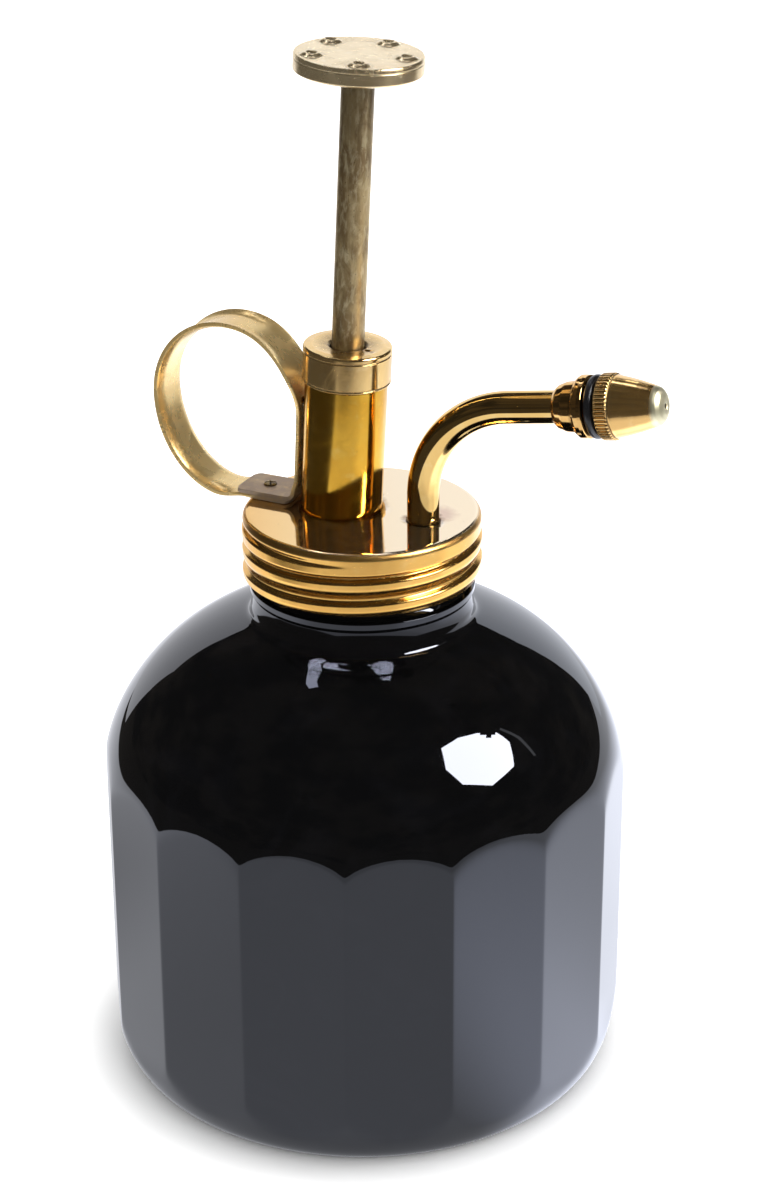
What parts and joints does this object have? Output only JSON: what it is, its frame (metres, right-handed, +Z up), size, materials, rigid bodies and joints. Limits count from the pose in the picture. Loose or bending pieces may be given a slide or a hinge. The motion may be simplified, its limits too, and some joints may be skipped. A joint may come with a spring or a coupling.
{
  "type": "plunger plant mister",
  "caption": "Hand-pumped plant mister: faceted black glass bottle, brass screw lid, plunger pump with thumb button and finger ring, bent spout and adjustable mist nozzle.",
  "frame": {"origin": "centre of the bottle's base on the ground plane", "axes": "+Z up along the bottle's axis, +X towards the spout, -X towards the finger ring"},
  "size_m": [0.1091, 0.1002, 0.1983],
  "materials": {
    "black_glass": "glossy, opaque black",
    "lid_brass": "polished spun brass, warm",
    "barrel_brass": "polished",
    "cap_brass": "polished",
    "strap_brass": "polished outside, brushed inside",
    "rivet_brass": "unpolished",
    "rod_brass": "tarnished",
    "button_brass": "polished, pale",
    "spout_brass": "polished",
    "nozzle_brass": "polished, coppery",
    "nozzle_cap_brass": "polished, coppery, knurled band",
    "inner_brass": "machined",
    "steel": "bright",
    "black_rubber": "satin",
    "gasket_rubber": "matt",
    "packing_felt": "greased felt",
    "cup_leather": "oiled"
  },
  "bodies": {
    "bottle_body": {"bottle": "black_glass"},
    "gasket_body": {"lid_gasket": "gasket_rubber"},
    "head": {"lid": "lid_brass", "pump_barrel": "barrel_brass", "barrel_cap": "cap_brass", "rod_packing": "packing_felt", "packing_retainer": "inner_brass", "finger_ring": "strap_brass", "ring_rivet": "rivet_brass", "valve_body": "inner_brass", "ball_stop_pin": "steel", "dip_tube": "inner_brass", "dip_strainer": "inner_brass", "spout_tube": "spout_brass", "nozzle_body": "nozzle_brass", "swirl_core": "inner_brass", "return_spring": "steel", "outlet_plug": "inner_brass"},
    "plunger": {"plunger_rod": "rod_brass", "thumb_button": "button_brass", "piston": "inner_brass", "piston_cup": "cup_leather", "piston_nut": "inner_brass"},
    "nozzle_seal": {"nozzle_oring": "black_rubber"},
    "nozzle_tip": {"nozzle_cap": "nozzle_cap_brass"},
    "inlet_valve": {"inlet_ball": "steel"},
    "outlet_valve": {"outlet_ball": "steel"}
  },
  "joints": [
    {"name": "lid_rise", "type": "slide", "parent": "bottle_body", "child": "gasket_body", "axis": [0, 0, 1], "range_m": [0, 0.0064]},
    {"name": "lid_turn", "type": "hinge", "parent": "gasket_body", "child": "head", "pos_m": [0, 0, 0.1], "axis": [0, 0, 1], "range_deg": [0, 540]},
    {"name": "pump_stroke", "type": "slide", "parent": "head", "child": "plunger", "axis": [-0.0506, 0, -0.9987], "range_m": [0, 0.044], "stiffness_N_per_m": 120, "springref_m": -0.015, "deforming": ["return_spring"]},
    {"name": "nozzle_travel", "type": "slide", "parent": "head", "child": "nozzle_seal", "axis": [0.9866, 0, 0.1633], "range_m": [0, 0.00112]},
    {"name": "nozzle_turn", "type": "hinge", "parent": "nozzle_seal", "child": "nozzle_tip", "pos_m": [0.0385, 0, 0.13827], "axis": [0.9866, 0, 0.1633], "range_deg": [0, 540]},
    {"name": "inlet_valve_lift", "type": "slide", "parent": "head", "child": "inlet_valve", "axis": [0.0506, 0, 0.9987], "range_m": [0, 0.0011]},
    {"name": "outlet_valve_lift", "type": "slide", "parent": "head", "child": "outlet_valve", "axis": [0, 0, 1], "range_m": [0, 0.0012]}
  ],
  "couplings": [
    {"joint": "lid_rise", "follows": "lid_turn", "m_per_rad": 0.00067322},
    {"joint": "nozzle_turn", "follows": "nozzle_travel", "rad_per_m": 8377.5}
  ]
}
